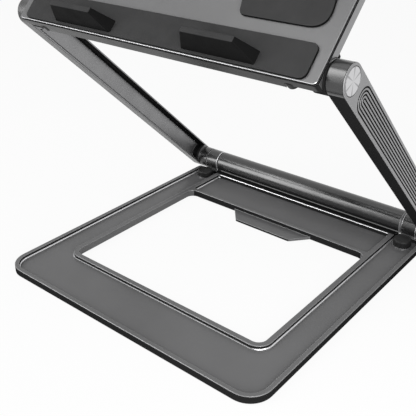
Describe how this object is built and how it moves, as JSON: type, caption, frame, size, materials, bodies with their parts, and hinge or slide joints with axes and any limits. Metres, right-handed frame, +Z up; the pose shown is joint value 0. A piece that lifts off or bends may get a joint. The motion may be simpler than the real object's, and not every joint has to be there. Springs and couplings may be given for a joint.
{
  "type": "laptop cooling stand",
  "caption": "Folding laptop stand: tray base with a window, two arms on a hinge tube and a tilting vented platform with pads and stops.",
  "frame": {"origin": "middle of the footprint (base front edge to the back of the hinge tube) on the desk, under the feet", "axes": "+Z up, +X to the user's right, +Y from the front edge to the hinge tube at the back"},
  "size_m": [0.3054, 0.297, 0.4323],
  "materials": {
    "grey_aluminium": "fine bead-blasted and anodised, space grey, satin, bright machined edges",
    "tube_metal": "anodised space grey, satin, turned",
    "steel": "plain steel",
    "spun_disc": "spun bright aluminium",
    "grey_silicone": "matt dark grey silicone",
    "stop_rubber": "matt black rubber",
    "black_rubber": "black rubber",
    "black_plastic": "black acetal"
  },
  "bodies": {
    "base": {"base_tray": "grey_aluminium", "foot_front_left": "black_rubber", "foot_rear_left": "black_rubber", "rear_bumper_ring_left": "steel", "rear_bumper_left": "black_rubber", "hinge_knuckle_left": "grey_aluminium", "knuckle_bush_left": "black_plastic", "foot_front_right": "black_rubber", "foot_rear_right": "black_rubber", "rear_bumper_ring_right": "steel", "rear_bumper_right": "black_rubber", "hinge_knuckle_right": "grey_aluminium", "knuckle_bush_right": "black_plastic", "knuckle_screw_left_1": "steel", "knuckle_screw_left_2": "steel", "knuckle_screw_right_1": "steel", "knuckle_screw_right_2": "steel"},
    "arms": {"cross_shaft": "steel", "hinge_tube": "tube_metal", "arm_left": "grey_aluminium", "tube_plug_left": "black_plastic", "hinge_washer_left": "steel", "shaft_bolt_left": "steel", "lower_cap_left": "spun_disc", "upper_cap_left": "spun_disc", "arm_right": "grey_aluminium", "tube_plug_right": "black_plastic", "hinge_washer_right": "steel", "shaft_bolt_right": "steel", "lower_cap_right": "spun_disc", "upper_cap_right": "spun_disc"},
    "platform": {"platform_plate": "grey_aluminium", "frame_front": "grey_aluminium", "frame_rear": "grey_aluminium", "front_pad": "grey_silicone", "back_pad": "grey_silicone", "frame_side_left": "grey_aluminium", "frame_rib_left": "grey_aluminium", "frame_block_left": "grey_aluminium", "rear_pad_left": "grey_silicone", "front_stop_left": "stop_rubber", "platform_lug_left": "grey_aluminium", "pivot_pin_left": "steel", "pivot_washer_left": "steel", "platform_bumper_left": "black_rubber", "frame_side_right": "grey_aluminium", "frame_rib_right": "grey_aluminium", "frame_block_right": "grey_aluminium", "rear_pad_right": "grey_silicone", "front_stop_right": "stop_rubber", "platform_lug_right": "grey_aluminium", "pivot_pin_right": "steel", "pivot_washer_right": "steel", "platform_bumper_right": "black_rubber", "lug_screw_left_1": "steel", "lug_screw_left_2": "steel", "lug_screw_right_1": "steel", "lug_screw_right_2": "steel"}
  },
  "joints": [
    {"name": "arm_hinge", "type": "hinge", "parent": "base", "child": "arms", "pos_m": [0, 0.13708, 0.01585], "axis": [-1, 0, 0], "range_deg": [-43.2, 46.8]},
    {"name": "platform_hinge", "type": "hinge", "parent": "arms", "child": "platform", "pos_m": [0, -0.08038, 0.22005], "axis": [1, 0, 0], "range_deg": [-91.1, 10]}
  ]
}
